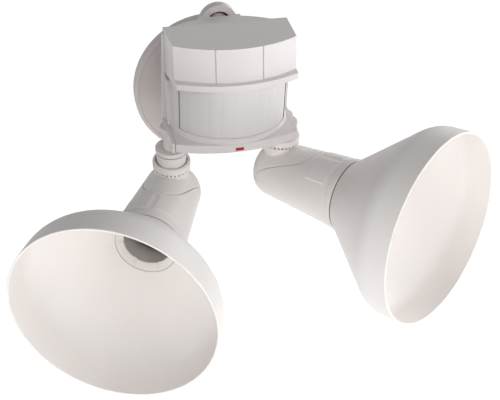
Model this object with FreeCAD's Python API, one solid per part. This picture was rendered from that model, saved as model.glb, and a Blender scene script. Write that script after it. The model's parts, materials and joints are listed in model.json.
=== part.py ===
import FreeCAD, Part
import math
import os

# Motion sensor security light for an outside wall: a round wall plate, a bent arm with a ball,
# a sensor head clamped on the ball, and two swivelling lampholders with wide round shades.
# Millimetres. The wall is the plane y = 0, the light faces -Y, +Z is up, and the origin is the
# centre of the wall plate where it meets the wall.

V = FreeCAD.Vector
X_AXIS = V(1, 0, 0)
Y_AXIS = V(0, 1, 0)
Z_AXIS = V(0, 0, 1)
ORIGIN = V(0, 0, 0)

# ---- clearances ----
fit_gap = 0.05            # a turning or screwed fit, on the radius
seat_gap = 0.2            # between pieces that seat beside each other
turn_gap = 0.3            # between faces that pass each other

# ---- wall plate, its gasket and screws ----
plate_radius = 63.5
plate_depth = 10.0
plate_wall = 2.0
plate_edge_round = 2.6
plate_rim_width = 1.2
plate_dish = 0.6
gasket_thickness = 1.5
gasket_inner_radius = 53.0
box_screw_spacing = 88.9
box_screw_radius = 2.1
box_screw_hole_radius = 3.6
box_screw_head_radius = 4.8
box_screw_head_height = 2.4
box_screw_reach = 9.0

# ---- arm and ball ----
arm_radius = 7.0
arm_neck_radius = 4.6
arm_base_radius = 15.0
arm_base_thickness = 3.5
arm_washer_thickness = 1.0
arm_lower_bend = 9.0
arm_upper_bend = 10.0
arm_upper_start_z = 55.9
arm_neck_angle = 45.0     # degrees that the upper bend turns through
arm_neck_run = 11.1       # from the end of the upper bend to the centre of the ball
nipple_radius = 6.4
locknut_across_flats = 19.0
locknut_thickness = 4.0
ball_radius = 7.5
ball_seat_back = 2.6      # how far the seat reaches behind the ball's centre
ball_seat_front = 0.8     # and ahead of it
ball_seat_drop = 2.0      # and below it

# ---- sensor head ----
head_wall = 2.0
head_join_y = -58.4       # where the back shell's bulge meets its flange
flange_thickness = 3.6
flange_half_top = 47.0
flange_half_bottom = 49.8
back_bulge = 18.4         # depth of the bulge behind the flange
back_half_width = 46.0
back_top_z = 78.0
back_bottom_z = 0.0
tray_height = 8.5
tray_half_front = 48.0
rail_setback = 1.6
tray_front_y = -100.2
base_half_width = 45.7
base_bottom_z = 1.6
base_floor = 2.0
base_nose = 8.7           # how far the base bows forward of its corners

# ---- hood over the sensor ----
roof_z = 81.6
roof_thickness = 2.2
roof_half_back = 46.3
roof_half_front = 44.5
roof_corner_y = -89.05
roof_nose = 12.9
hood_side_inset = 0.4     # how far the roof overhangs the hood's sides at the back
visor_bottom_z = 57.9
visor_lean = 4.5          # how far the visor leans forward from top to bottom
lip_corner_y = -100.3
lip_half_width = 44.3
lip_nose = 9.9
lip_top_z = 58.1
lip_bottom_z = 53.4
hood_side_back_z = 47.2
groove_x = 17.0
groove_width = 0.7
groove_depth = 0.7

# ---- lens and its frame ----
frame_centre_y = -72.4
frame_half_width = 43.8
frame_depth = 35.2
frame_wall = 2.6
ring_proud = 1.3
ring_height = 2.7
ring_chamfer = 1.4
frame_top_z = 55.6
frame_tuck_z = 46.3
frame_tuck_half = 41.5
ear_half_width = 46.6
ear_front_y = -72.4
window_half_width = 40.4
window_bottom_z = 12.6
window_top_z = 48.8
lens_inset = 0.4
lens_thickness = 1.0

# ---- indicator, controls and what is inside ----
led_window_width = 6.2
led_window_height = 2.5
led_window_depth = 1.4
led_window_x = 0.4
led_window_z = 4.1
led_window_setback = 0.1
led_radius = 1.2
control_spacing = 28.0
control_y = -92.0
dial_radius = 5.5
dial_height = 3.4
dial_spindle_radius = 4.0
slider_travel = 8.0
slider_width = 3.2
board_half_width = 30.0
board_y = -66.0
board_thickness = 1.6
board_bottom_z = 12.0
board_top_z = 50.0
pyro_radius = 4.6
pyro_height = 4.4
pyro_z = 31.0
relay_size = V(15.5, 12.0, 15.0)
transformer_size = V(22.0, 13.0, 18.0)
photocell_radius = 2.6
board_pin_radius = 1.6
board_post_radius = 3.0
hoop_outer_radius = 14.4
hoop_ball_radius = 10.0
hoop_thickness = 7.0
hoop_leg = 11.0
hoop_lip = 6.0            # how far below the ball's centre the legs still hold the seat
lug_half_width = 16.0
lug_drop = 17.0           # how far the lug reaches below the centre of the ball
lug_ball_room = 0.7
lug_seat_radius = 9.7     # of the room in the lug that the seat moves into when the head tips down
lug_seat_sweep = 5.3      # and how far ahead of the ball's centre that room reaches

# ---- lamp knuckles ----
stem_inset = 1.2          # how far inside the tray's side the stem stands
stem_y = -70.5
stem_radius = 6.4
stem_boss_radius = 8.0
stem_top_z = 5.0
stem_boss_height = 6.2
flange_nut_radius = 12.3
flange_nut_thickness = 3.2
flange_nut_gap = 1.4
collar_top_radius = 11.9
collar_bottom_radius = 11.4
collar_height = 8.9
cup_radius = 14.9
cup_wall = 2.2
cup_height = 6.6
cup_floor = 1.3
tooth_height = 1.7
tooth_count = 30
tooth_width = 3.4
tooth_fill = 0.46         # share of the pitch that a tooth takes
stem_entry = 1.9          # how far the stem is screwed into the collar
knuckle_ball_radius = 4.6
knuckle_ball_neck = 2.7
knuckle_pivot = 7.0       # height of the knuckle's ball above the teeth
clamp_screw_radius = 1.8
clamp_screw_head_radius = 3.6
clamp_screw_head_height = 2.6
tooth_z = {"left": -31.4, "right": -18.9}
lamp_tilt = {"left": -3.2, "right": 3.0}
lamp_pan = {"left": -25.3, "right": 33.2}

# ---- lampholders, sockets and shades ----
axis_drop = 27.0          # from the teeth down to the lamp's own axis
axis_rise = 5.7           # degrees that the lamp's axis rises from square to the knuckle
boss_radius = 14.5
holder_back = 22.6
holder_radius = 24.6
holder_mouth_radius = 28.6
holder_mouth_run = 72.5
holder_wall = 2.6
holder_floor_run = 8.0
seam_gap = 0.3
seam_back_height = -1.0
seam_front_run = 35.0
insulator_room = 3.0      # from the lampholder's wall to the insulator
insulator_floor = 4.0
insulator_end_run = 52.0
screw_shell_radius = 13.2
screw_shell_wall = 0.6
screw_shell_length = 26.0
screw_shell_room = 0.6    # from the insulator's bore to the shell
contact_radius = 4.0
contact_height = 0.5
lamp_gasket_setback = 5.6
lamp_gasket_thickness = 4.0
shade_reach = 151.5       # from the knuckle's axis to the mouth of the shade
shade_mouth_radius = 72.5
shade_band_radius = 71.9
shade_band_depth = 22.2
shade_neck_radius = 28.4
shade_depth = 78.8
shade_wall = 1.0
shade_bead = 0.8
shade_hole_radius = 23.9
ring_inner_radius = 21.6
ring_flange_radius = 27.4
ring_flange_thickness = 2.6

# ---- places worked out from the sizes above ----
plate_face_y = -(plate_depth - plate_dish)
arm_face_y = plate_face_y - arm_washer_thickness
arm_rise_y = arm_face_y - arm_base_thickness - arm_lower_bend
neck_angle = math.radians(arm_neck_angle)
neck_start = V(0,
               arm_rise_y - arm_upper_bend * (1 - math.cos(neck_angle)),
               arm_upper_start_z + arm_upper_bend * math.sin(neck_angle))
ball_centre = neck_start + V(0, -math.sin(neck_angle), math.cos(neck_angle)) * arm_neck_run
flange_front_y = head_join_y - flange_thickness
base_top_z = tray_height
visor_corner_y = roof_corner_y - visor_lean
cup_top = cup_height
collar_bottom = tooth_height + cup_floor + 2.0
collar_top = collar_bottom + collar_height
flange_nut_bottom = collar_top + flange_nut_gap
flange_nut_top = flange_nut_bottom + flange_nut_thickness
insulator_radius = holder_radius - holder_wall - insulator_room
insulator_wall = insulator_radius - screw_shell_radius - screw_shell_wall - screw_shell_room
stem_x = base_half_width - stem_inset
SIDES = (("left", -1), ("right", 1))

nodes = {}


def path(start, *steps):
    """Wire from start: a vector is a line to it, a pair is an arc through the first to the second."""
    edges = []
    here = start
    for step in steps:
        if isinstance(step, tuple):
            edges.append(Part.Arc(here, step[0], step[1]).toShape())
            here = step[1]
        else:
            edges.append(Part.LineSegment(here, step).toShape())
            here = step
    if (here - start).Length > 1e-6:
        edges.append(Part.LineSegment(here, start).toShape())
    return Part.Wire(edges)


def raised(wire, reach):
    """Solid made by pushing a closed wire along a vector."""
    return Part.Face(wire).extrude(reach)


def turned(wire, base=ORIGIN, axis=Y_AXIS):
    """Solid made by turning a closed wire once round an axis."""
    return Part.Face(wire).revolve(base, axis, 360)


def rod(radius, start, end):
    """Straight round rod from one point to another."""
    return Part.makeCylinder(radius, (end - start).Length, start, end - start)


def block(low, high):
    """Box between two corners."""
    return Part.makeBox(high.x - low.x, high.y - low.y, high.z - low.z, low)


def fused(*shapes):
    """One solid made of several that meet."""
    return shapes[0].multiFuse(list(shapes[1:])).removeSplitter()


def hexagon(across_flats, start, reach):
    """Hexagonal prism on an axis along Y."""
    corner = across_flats / math.sqrt(3)
    points = [V(corner * math.cos(math.radians(60 * i)), start, corner * math.sin(math.radians(60 * i)))
              for i in range(6)]
    return raised(path(*points), V(0, reach, 0))


# ---------------------------------------------------------------- wall side

def wall_gasket():
    outer = rod(plate_radius - 1.0, ORIGIN, V(0, -gasket_thickness, 0))
    return outer.cut(rod(gasket_inner_radius, ORIGIN, V(0, -gasket_thickness, 0)))


def wall_plate():
    """Shallow pan with a rounded edge, a narrow flat rim and a slightly sunken face."""
    edge_y = -(plate_depth - plate_edge_round)
    rim_radius = plate_radius - plate_edge_round
    face_radius = rim_radius - plate_rim_width
    corner = plate_edge_round * math.sin(math.radians(45))
    inner_radius = plate_radius - plate_wall
    hole = nipple_radius + fit_gap
    back_y = plate_face_y + plate_wall
    pan = turned(path(
        V(plate_radius, -gasket_thickness, 0),
        V(plate_radius, edge_y, 0),
        (V(rim_radius + corner, edge_y - corner, 0), V(rim_radius, -plate_depth, 0)),
        V(face_radius + plate_dish, -plate_depth, 0),
        V(face_radius, plate_face_y, 0),
        V(hole, plate_face_y, 0),
        V(hole, back_y, 0),
        V(inner_radius - 1.0, back_y, 0),
        V(inner_radius, back_y + 1.0, 0),
        V(inner_radius, -gasket_thickness, 0)))
    for up in (-1, 1):
        centre = V(0, -plate_depth, up * box_screw_spacing / 2)
        pan = pan.cut(rod(box_screw_hole_radius, centre, centre + V(0, plate_depth, 0)))
    return pan


def box_screws():
    """Two pan head screws on the upright centre line, reaching into the box behind the wall."""
    screws = []
    for up in (-1, 1):
        seat = V(0, plate_face_y, up * box_screw_spacing / 2)
        head = rod(box_screw_head_radius, seat, seat - V(0, box_screw_head_height, 0))
        slot_low = seat + V(-box_screw_head_radius, -box_screw_head_height - 1, -0.5)
        slot_high = seat + V(box_screw_head_radius, -box_screw_head_height + 1.1, 0.5)
        shank = rod(box_screw_radius, seat, V(0, box_screw_reach, seat.z))
        screws.append(fused(head, shank).cut(block(slot_low, slot_high)))
    return Part.makeCompound(screws)


def swivel_arm():
    """Arm with a round foot on the plate, a bend up, a bend forward, and a ball on a tapered neck."""
    foot_front = arm_face_y - arm_base_thickness
    foot = turned(path(
        V(0, arm_face_y, 0),
        V(arm_base_radius, arm_face_y, 0),
        V(arm_base_radius, foot_front + 1.5, 0),
        (V(arm_base_radius - 0.5, foot_front + 0.5, 0), V(arm_base_radius - 1.5, foot_front, 0)),
        V(0, foot_front, 0)))
    nipple = rod(nipple_radius, V(0, arm_face_y, 0), V(0, -gasket_thickness - 0.5, 0))
    bend_start = V(0, foot_front, 0)
    bend_end = V(0, arm_rise_y, arm_lower_bend)
    lower_centre = V(0, foot_front, arm_lower_bend)
    section = Part.Face(Part.Wire(Part.makeCircle(arm_radius, bend_start, Y_AXIS)))
    lower = section.revolve(lower_centre, X_AXIS, -90)
    upright_top = V(0, arm_rise_y, arm_upper_start_z)
    upright = rod(arm_radius, bend_end, upright_top)
    upper_centre = V(0, arm_rise_y - arm_upper_bend, arm_upper_start_z)
    section = Part.Face(Part.Wire(Part.makeCircle(arm_radius, upright_top, Z_AXIS)))
    upper = section.revolve(upper_centre, X_AXIS, arm_neck_angle)
    neck_way = ball_centre - neck_start
    neck = Part.makeCone(arm_radius, arm_neck_radius, arm_neck_run - ball_radius + 1.0, neck_start, neck_way)
    stub = rod(arm_neck_radius, neck_start, ball_centre)
    ball = Part.makeSphere(ball_radius, ball_centre)
    return fused(foot, nipple, lower, upright, upper, neck, stub, ball)


def arm_washer():
    ring = rod(arm_base_radius - 1.0, V(0, plate_face_y, 0), V(0, arm_face_y, 0))
    return ring.cut(rod(nipple_radius + fit_gap, V(0, plate_face_y, 0), V(0, arm_face_y, 0)))


def arm_locknut():
    start = plate_face_y + plate_wall
    nut = hexagon(locknut_across_flats, start, locknut_thickness)
    return nut.cut(rod(nipple_radius + fit_gap, V(0, start, 0), V(0, start + locknut_thickness, 0)))


def ball_seat():
    """Dark half ring between the ball and the hoop: the ball turns in it, and the hoop tilts on it."""
    outer = hoop_ball_radius - fit_gap
    shell = Part.makeSphere(outer, ball_centre).cut(Part.makeSphere(ball_radius + fit_gap, ball_centre))
    return shell.common(block(ball_centre - V(outer, ball_seat_front, ball_seat_drop),
                              ball_centre + V(outer, ball_seat_back, outer)))


# ---------------------------------------------------------------- sensor head

def bowed_outline(back_half, back_y, front_half, corner_y, nose, z):
    """Outline with a straight back, straight sides and a front bowed forward by nose."""
    return path(V(-back_half, back_y, z),
                V(-front_half, corner_y, z),
                (V(0, corner_y - nose, z), V(front_half, corner_y, z)),
                V(back_half, back_y, z))


def oval_outline(half_width, depth, back_y, z):
    """Front half of an oval with straight sides running back to back_y."""
    oval = Part.Ellipse(V(0, frame_centre_y, z), half_width, depth)
    front = Part.ArcOfEllipse(oval, math.pi, 2 * math.pi).toShape()
    left, right = V(-half_width, back_y, z), V(half_width, back_y, z)
    sides = [Part.LineSegment(V(half_width, frame_centre_y, z), right).toShape(),
             Part.LineSegment(right, left).toShape(),
             Part.LineSegment(left, V(-half_width, frame_centre_y, z)).toShape()]
    return Part.Wire([front] + sides)


def upright_oval(half_width, depth, back_y, low, high):
    return raised(oval_outline(half_width, depth, back_y, low), V(0, 0, high - low))


def bulge_outline(inset, z):
    """Bowed back of the head, closed along the line where it meets the flange."""
    half = back_half_width - inset
    return path(V(-half, flange_front_y, z),
                V(-half, head_join_y, z),
                (V(0, head_join_y + back_bulge - inset, z), V(half, head_join_y, z)),
                V(half, flange_front_y, z))


def bulge_back(x, inset):
    """How far back the bowed outline reaches at a distance from the middle."""
    half, rise = back_half_width - inset, back_bulge - inset
    radius = (half ** 2 + rise ** 2) / (2 * rise)
    return head_join_y + rise - radius + math.sqrt(radius ** 2 - x ** 2)


def rear_housing():
    """Bowed back shell with a tapering flange, a low tray wall each side and bosses for the stems."""
    height = back_top_z - back_bottom_z
    shell = raised(bulge_outline(0, back_bottom_z), V(0, 0, height))
    flange = raised(path(V(-flange_half_bottom, flange_front_y, back_bottom_z),
                         V(flange_half_bottom, flange_front_y, back_bottom_z),
                         V(flange_half_top, flange_front_y, back_top_z),
                         V(-flange_half_top, flange_front_y, back_top_z)), V(0, flange_thickness, 0))
    inner_height = height - 2 * head_wall
    hollow = raised(bulge_outline(head_wall, back_bottom_z + head_wall), V(0, 0, inner_height))
    housing = fused(shell, flange).cut(hollow)
    ball_room = Part.makeSphere(ball_radius + lug_ball_room, ball_centre)
    housing = housing.fuse(ball_lug()).cut(fused(ball_room, seat_room()))
    for side in (-1, 1):
        foot_z = back_bottom_z
        rail = path(V(side * (base_half_width + seat_gap), flange_front_y, foot_z),
                    V(side * flange_half_bottom, flange_front_y, foot_z),
                    V(side * tray_half_front, tray_front_y + rail_setback, foot_z),
                    V(side * (base_half_width + seat_gap), tray_front_y + rail_setback, foot_z))
        boss_foot = V(side * stem_x, stem_y, foot_z)
        boss = rod(stem_boss_radius, boss_foot, boss_foot + V(0, 0, stem_boss_height))
        housing = housing.fuse(raised(rail, V(0, 0, tray_height))).fuse(boss)
        stem_room = rod(stem_radius + fit_gap, boss_foot, boss_foot + V(0, 0, stem_top_z + fit_gap))
        housing = housing.cut(stem_room)
    return housing.removeSplitter()


def ball_lug():
    """Block on the back of the shell that the hoop stands against."""
    front = head_join_y + back_bulge - head_wall - 5.0
    back = ball_centre.y - hoop_thickness / 2
    top = back_top_z - 0.6
    return block(V(-lug_half_width, front, ball_centre.z - lug_drop), V(lug_half_width, back, top))


def seat_room():
    """Room in the lug for the seat, which comes forward out of the hoop when the head tips down."""
    return rod(lug_seat_radius, ball_centre - V(0, lug_seat_sweep, 0), ball_centre)


def ball_hoop():
    """Hoop over the ball: a half ring on two legs, hollowed to a sphere where the seat tilts in it."""
    y = ball_centre.y - hoop_thickness / 2
    z = ball_centre.z
    foot = z - hoop_leg
    arch = path(V(-hoop_outer_radius, y, foot),
                V(-hoop_outer_radius, y, z),
                (V(0, y, z + hoop_outer_radius), V(hoop_outer_radius, y, z)),
                V(hoop_outer_radius, y, foot))
    solid = raised(arch, V(0, hoop_thickness, 0)).cut(Part.makeSphere(hoop_ball_radius, ball_centre))
    gap = hoop_ball_radius - 0.4
    way_out = block(V(-gap, y, foot), V(gap, y + hoop_thickness, z))
    low_way = block(V(-hoop_ball_radius, y, foot), V(hoop_ball_radius, y + hoop_thickness, z - hoop_lip))
    return solid.cut(way_out).cut(low_way)


def hood():
    """Roof with a leaning three-panel visor, a lip below it, and sides whose lower edge slopes."""
    roof = raised(bowed_outline(roof_half_back, head_join_y, roof_half_front, roof_corner_y, roof_nose,
                                roof_z - roof_thickness), V(0, 0, roof_thickness))
    back_y = flange_front_y - seat_gap
    side_half = roof_half_back - hood_side_inset
    inner_half = side_half - head_wall
    visor = Part.makeLoft([
        bowed_outline(side_half, back_y, roof_half_front, roof_corner_y, roof_nose, roof_z),
        bowed_outline(side_half, back_y, roof_half_front, visor_corner_y, roof_nose, visor_bottom_z)],
        True, True)
    skirt = raised(bowed_outline(side_half, back_y, lip_half_width, lip_corner_y, lip_nose, hood_side_back_z),
                   V(0, 0, lip_top_z - hood_side_back_z))
    inner_visor = Part.makeLoft([
        bowed_outline(inner_half, back_y + 1, roof_half_front - head_wall, roof_corner_y + head_wall,
                      roof_nose, roof_z - roof_thickness),
        bowed_outline(inner_half, back_y + 1, roof_half_front - head_wall, visor_corner_y + head_wall,
                      roof_nose, visor_bottom_z - head_wall)], True, True)
    inner_skirt = raised(bowed_outline(inner_half, back_y + 1, lip_half_width - head_wall,
                                       lip_corner_y + head_wall, lip_nose, hood_side_back_z - 1),
                         V(0, 0, lip_top_z - head_wall - hood_side_back_z + 1))
    shape = fused(roof, visor, skirt).cut(inner_visor).cut(inner_skirt)
    far = 60.0
    below = path(V(-far, back_y + 1, hood_side_back_z),
                 V(-far, lip_corner_y, lip_bottom_z),
                 V(-far, lip_corner_y - far, lip_bottom_z),
                 V(-far, lip_corner_y - far, hood_side_back_z - 5),
                 V(-far, back_y + 1, hood_side_back_z - 5))
    shape = shape.cut(raised(below, V(2 * far, 0, 0)))
    for side in (-1, 1):
        shape = shape.cut(visor_groove(side * groove_x))
    return shape


def visor_groove(x):
    """Shallow groove down the leaning visor, between two of its panels."""
    bow = roof_nose * (1 - (x / roof_half_front) ** 2)
    top = V(x - groove_width / 2, roof_corner_y - bow + groove_depth, roof_z)
    foot = V(x - groove_width / 2, visor_corner_y - bow + groove_depth, lip_top_z)
    out = V(0, -10, 0)
    return raised(path(top, foot, foot + out, top + out), V(groove_width, 0, 0))


def sensor_frame():
    """Oval wall round the lens, with a proud ring at its foot, tucked in under the hood."""
    back_y = flange_front_y
    wall_front = upright_oval(frame_half_width, frame_depth, back_y, base_top_z, frame_top_z)
    ring_half = frame_half_width + ring_proud
    ring_depth = frame_depth + ring_proud
    ring_top = base_top_z + ring_height
    ring = upright_oval(ring_half, ring_depth, back_y, base_top_z, ring_top)
    chamfer = Part.makeLoft([oval_outline(ring_half, ring_depth, back_y, ring_top),
                             oval_outline(frame_half_width, frame_depth, back_y, ring_top + ring_chamfer)],
                            True, True)
    inner = upright_oval(frame_half_width - frame_wall, frame_depth - frame_wall, back_y + 1,
                         base_top_z - 1, frame_top_z + 1)
    ears = block(V(-ear_half_width, ear_front_y, base_top_z), V(ear_half_width, back_y, frame_tuck_z))
    frame = fused(wall_front, ring, chamfer, ears).cut(inner)
    window = block(V(-window_half_width, frame_centre_y - 2 * frame_depth, window_bottom_z),
                   V(window_half_width, frame_centre_y, window_top_z))
    frame = frame.cut(window)
    for side in (-1, 1):
        near = side * frame_tuck_half
        far = side * (ear_half_width + 5)
        frame = frame.cut(block(V(min(near, far), frame_centre_y - frame_depth - 5, frame_tuck_z),
                                V(max(near, far), back_y + 1, frame_top_z + 1)))
    return frame


def lens():
    """Thin oval window of milky plastic, set in the frame."""
    low = window_bottom_z + seat_gap
    high = window_top_z - seat_gap
    outer = upright_oval(frame_half_width - lens_inset, frame_depth - lens_inset, flange_front_y, low, high)
    inset = lens_inset + lens_thickness
    inner = upright_oval(frame_half_width - inset, frame_depth - inset, flange_front_y + 1, low - 1, high + 1)
    keep = block(V(-window_half_width + seat_gap, frame_centre_y - 2 * frame_depth, low - 1),
                 V(window_half_width - seat_gap, frame_centre_y, high + 1))
    return outer.cut(inner).common(keep)


def base_solid(inset, low, high):
    return raised(bowed_outline(base_half_width - inset, flange_front_y - seat_gap, base_half_width - inset,
                                tray_front_y + inset, base_nose, low), V(0, 0, high - low))


def control_place(side):
    return V(side * control_spacing / 2, control_y, base_bottom_z)


def base_cover():
    """Tray under the lens that carries the indicator window and the two controls."""
    base = base_solid(0, base_bottom_z, base_top_z)
    well = upright_oval(frame_half_width - frame_wall, frame_depth - frame_wall, flange_front_y - head_wall,
                        base_bottom_z + base_floor, base_top_z + 1)
    base = base.cut(well)
    nose_y = tray_front_y - base_nose
    half_width = led_window_width / 2 + fit_gap
    half_height = led_window_height / 2 + fit_gap
    low = V(led_window_x - half_width, nose_y - 1, led_window_z - half_height)
    high = V(led_window_x + half_width, nose_y + led_window_depth + 3, led_window_z + half_height)
    base = base.cut(block(low, high))
    for side in (-1, 1):
        boss_foot = V(side * stem_x, stem_y, base_bottom_z - 1)
        boss_room = V(boss_foot.x, boss_foot.y, stem_boss_height + seat_gap)
        base = base.cut(rod(stem_boss_radius + seat_gap, boss_foot, boss_room))
    dial_hole = control_place(-1)
    base = base.cut(rod(dial_spindle_radius + fit_gap, dial_hole - V(0, 0, 1),
                        dial_hole + V(0, 0, base_floor + 1)))
    slot = control_place(1)
    room = slider_travel / 2 + slider_width / 2 + turn_gap
    side_room = slider_width / 2 + turn_gap
    return base.cut(block(slot + V(-room, -side_room, -1), slot + V(room, side_room, base_floor + 1)))


def led_window():
    nose_y = tray_front_y - base_nose
    front = nose_y + led_window_setback
    return block(V(led_window_x - led_window_width / 2, front, led_window_z - led_window_height / 2),
                 V(led_window_x + led_window_width / 2, front + led_window_depth,
                   led_window_z + led_window_height / 2))


def indicator_led():
    back = tray_front_y - base_nose + led_window_setback + led_window_depth
    start = V(led_window_x, back + seat_gap, led_window_z)
    bulb = rod(led_radius, start + V(0, led_radius, 0), start + V(0, 2.6, 0))
    tip = Part.makeSphere(led_radius, start + V(0, led_radius, 0))
    return fused(bulb, tip)


def range_dial():
    """Round dial with finger ribs, on a spindle through the floor of the base."""
    top = control_place(-1) - V(0, 0, turn_gap)
    dial = rod(dial_radius, top - V(0, 0, dial_height), top)
    for i in range(12):
        angle = math.radians(30 * i)
        notch = top + V(dial_radius * math.cos(angle), dial_radius * math.sin(angle), 0)
        dial = dial.cut(rod(0.6, notch - V(0, 0, dial_height), notch))
    pointer = block(top + V(-0.4, 0, -dial_height - 1), top + V(0.4, dial_radius - 0.8, -dial_height + 0.6))
    spindle = rod(dial_spindle_radius, top, top + V(0, 0, turn_gap + base_floor + 1.5))
    return fused(dial.cut(pointer), spindle)


def time_slider():
    """Small slide with a ridged grip, in its slot in the floor of the base."""
    centre = control_place(1) - V(slider_travel / 2, 0, 0)
    grip = block(centre + V(-slider_width / 2, -slider_width / 2, -2.0),
                 centre + V(slider_width / 2, slider_width / 2, base_floor + 0.4))
    for step in (-1, 0, 1):
        at = centre + V(step * slider_width / 3, 0, -2.0)
        grip = grip.cut(block(at - V(0.2, slider_width, 0.1), at + V(0.2, slider_width, 0.3)))
    plate_foot = centre + V(0, 0, base_floor + 0.4)
    plate = block(plate_foot - V(slider_width, slider_width, 0),
                  plate_foot + V(slider_width, slider_width, 1.2))
    return fused(grip, plate)


def circuit_board():
    board = block(V(-board_half_width, board_y - board_thickness, board_bottom_z),
                  V(board_half_width, board_y, board_top_z))
    for side in (-1, 1):
        for z in (board_bottom_z + 5, board_top_z - 5):
            hole = V(side * (board_half_width - 4), board_y - board_thickness - 1, z)
            board = board.cut(rod(board_pin_radius + 0.2, hole, hole + V(0, board_thickness + 2, 0)))
    return board


def board_posts():
    """Four posts that carry the board on the back shell, as groups of pins through its holes."""
    posts = []
    for side in (-1, 1):
        for z in (board_bottom_z + 5, board_top_z - 5):
            x = side * (board_half_width - 4)
            back_y = bulge_back(abs(x) + board_post_radius, head_wall) - 0.1
            post = rod(board_post_radius, V(x, board_y, z), V(x, back_y, z))
            pin = rod(board_pin_radius, V(x, board_y - board_thickness - 1.2, z), V(x, board_y + 1, z))
            posts.append(fused(post, pin))
    return Part.makeCompound(posts)


def pyro_sensor():
    face_y = board_y - board_thickness
    can = rod(pyro_radius, V(0, face_y, pyro_z), V(0, face_y - pyro_height, pyro_z))
    brim = rod(pyro_radius + 0.6, V(0, face_y, pyro_z), V(0, face_y - 0.6, pyro_z))
    window = block(V(-2.0, face_y - pyro_height - 1, pyro_z - 1.5),
                   V(2.0, face_y - pyro_height + 0.3, pyro_z + 1.5))
    return fused(can, brim).cut(window)


def relay():
    low = V(3.0, board_y, board_bottom_z + 3)
    return block(low, low + V(relay_size.x, relay_size.y, relay_size.z))


def transformer():
    low = V(-transformer_size.x, board_y, board_bottom_z + 3)
    core = block(low, low + V(transformer_size.x, transformer_size.y, transformer_size.z))
    groove = block(low + V(6, -1, -1), low + V(7, transformer_size.y + 1, transformer_size.z + 1))
    return core.cut(groove)


def photocell():
    face_y = board_y - board_thickness
    return rod(photocell_radius, V(17.0, face_y, pyro_z + 10), V(17.0, face_y - 2.0, pyro_z + 10))


# ---------------------------------------------------------------- lamp knuckles (fixed half)

def stem_line(side, low, high):
    """Foot and top of a piece on the upright axis of a stem, from heights above that side's teeth."""
    base = V(side[1] * stem_x, stem_y, tooth_z[side[0]])
    return base + V(0, 0, low), base + V(0, 0, high)


def stem(side):
    foot, _ = stem_line(side, collar_top - stem_entry, 0)
    return rod(stem_radius, foot, V(foot.x, foot.y, stem_top_z))


def flange_nut(side):
    """Round nut with a rolled rim, threaded on the stem above the collar."""
    foot, top = stem_line(side, flange_nut_bottom, flange_nut_top)
    nut = rod(flange_nut_radius, foot, top)
    dish = rod(flange_nut_radius - 1.6, top - V(0, 0, 0.7), top)
    return nut.cut(dish).cut(rod(stem_radius + fit_gap, foot, top))


def collar(side):
    """Tapering collar on the stem's foot, with a ball socket in its underside."""
    foot, top = stem_line(side, collar_bottom, collar_top)
    body = Part.makeCone(collar_bottom_radius, collar_top_radius, collar_height, foot, Z_AXIS)
    bore = rod(stem_radius + fit_gap, top - V(0, 0, stem_entry + fit_gap), top)
    pivot, _ = stem_line(side, knuckle_pivot, 0)
    return body.cut(bore).cut(Part.makeSphere(knuckle_ball_radius + fit_gap, pivot)).cut(
        Part.makeCone(knuckle_ball_radius, knuckle_ball_neck + 0.6, knuckle_pivot - collar_bottom + 0.01,
                      foot + V(0, 0, -0.01), Z_AXIS))


# ---------------------------------------------------------------- lamp pieces, made at the teeth

def tooth_ring():
    """Ring of square teeth that point down, standing on the underside of the cup."""
    inner = cup_radius - tooth_width
    pitch = 2 * math.pi / tooth_count
    half = pitch * tooth_fill / 2
    teeth = []
    for i in range(tooth_count):
        a = i * pitch
        low, high = a - half, a + half
        corners = [V(r * math.cos(t), r * math.sin(t), 0)
                   for r, t in ((inner, low), (cup_radius, low), (cup_radius, high), (inner, high))]
        teeth.append(raised(path(*corners), V(0, 0, tooth_height + 0.2)))
    return teeth


def toothed_cup():
    """Cup round the collar's foot, with a ball stud inside and a ring of teeth below."""
    low = tooth_height
    cup = turned(path(
        V(0, 0, low),
        V(cup_radius, 0, low),
        V(cup_radius, 0, cup_top - 0.8),
        (V(cup_radius - 0.25, 0, cup_top - 0.25), V(cup_radius - 0.8, 0, cup_top)),
        V(cup_radius - cup_wall, 0, cup_top),
        V(cup_radius - cup_wall, 0, low + cup_floor),
        V(knuckle_ball_neck, 0, low + cup_floor),
        V(knuckle_ball_neck, 0, knuckle_pivot),
        V(0, 0, knuckle_pivot)), ORIGIN, Z_AXIS)
    ball = Part.makeSphere(knuckle_ball_radius, V(0, 0, knuckle_pivot))
    hole = rod(clamp_screw_radius, V(0, 0, 0), V(0, 0, knuckle_pivot + 1))
    return fused(cup, ball, *tooth_ring()).cut(hole)


def clamp_screw():
    """Screw from inside the lampholder's cap up into the ball stud."""
    head_top = -boss_wall() - turn_gap
    head = rod(clamp_screw_head_radius, V(0, 0, head_top - clamp_screw_head_height), V(0, 0, head_top))
    shank = rod(clamp_screw_radius - fit_gap, V(0, 0, head_top), V(0, 0, knuckle_pivot))
    return fused(head, shank)


def boss_wall():
    return turn_gap + head_wall + 0.6


def along_lamp(shape):
    """Move a shape made along -Y from the origin onto the lamp's own axis."""
    moved = shape.copy()
    moved.rotate(ORIGIN, X_AXIS, -axis_rise)
    moved.translate(V(0, 0, -axis_drop))
    return moved


def holder_radius_at(run):
    return holder_radius + (holder_mouth_radius - holder_radius) * run / holder_mouth_run


def holder_solid():
    """Outer form of the lampholder: a rounded back that widens evenly to the mouth."""
    mid = math.radians(45)
    return turned(path(
        V(0, holder_back, 0),
        (V(holder_radius * math.sin(mid), holder_back * math.cos(mid), 0), V(holder_radius, 0, 0)),
        V(holder_mouth_radius, -holder_mouth_run + 1.0, 0),
        V(holder_mouth_radius - 0.8, -holder_mouth_run, 0),
        V(0, -holder_mouth_run, 0)))


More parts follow.
